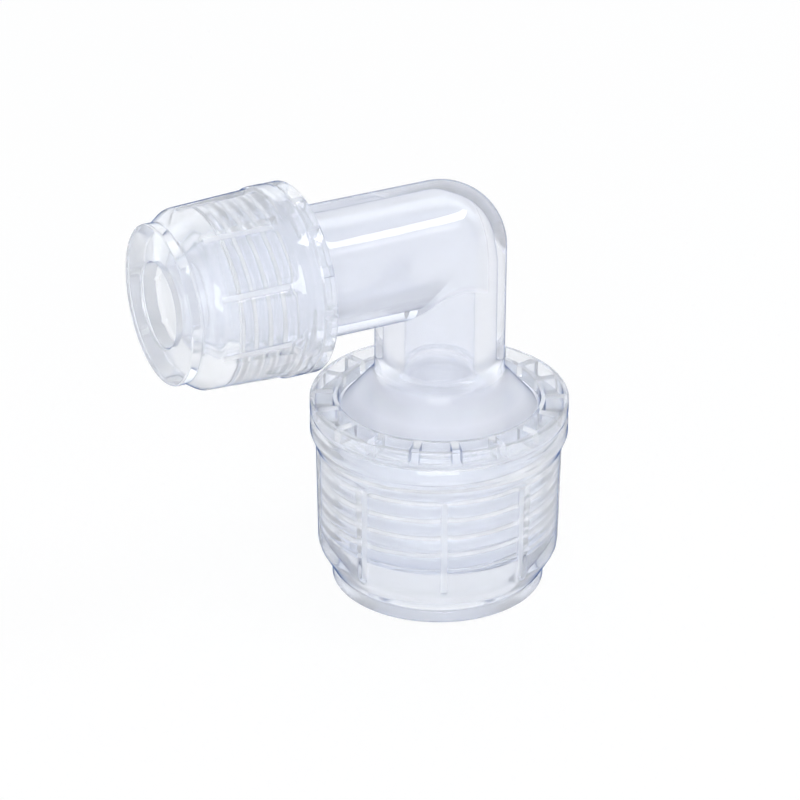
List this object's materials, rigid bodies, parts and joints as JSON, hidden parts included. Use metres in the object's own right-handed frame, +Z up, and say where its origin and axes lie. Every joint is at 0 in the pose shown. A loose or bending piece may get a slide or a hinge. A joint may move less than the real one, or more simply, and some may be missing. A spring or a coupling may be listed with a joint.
{
  "type": "reducing pipe elbow",
  "caption": "Translucent plastic 90 degree elbow with a union nut on each end, one tube hole larger than the other.",
  "frame": {"origin": "centre of the large nut's end face, on the axis of its tube hole", "axes": "+Z runs up the large leg to the corner, -X runs along the small leg, +Y completes the right-handed frame"},
  "size_m": [0.0665, 0.04, 0.0707],
  "materials": {
    "translucent_polypropylene": "translucent, satin"
  },
  "bodies": {
    "elbow": {"elbow_body": "translucent_polypropylene"},
    "small_nut": {"small_union_nut": "translucent_polypropylene"},
    "large_nut": {"large_union_nut": "translucent_polypropylene"}
  },
  "joints": [
    {"name": "small_nut_turn", "type": "hinge", "parent": "elbow", "child": "small_nut", "pos_m": [-0.0465, 0, 0.0563], "axis": [-1, 0, 0], "range_deg": [0, 1080]},
    {"name": "large_nut_turn", "type": "hinge", "parent": "elbow", "child": "large_nut", "pos_m": [0, 0, 0], "axis": [0, 0, -1], "range_deg": [0, 1080]}
  ]
}
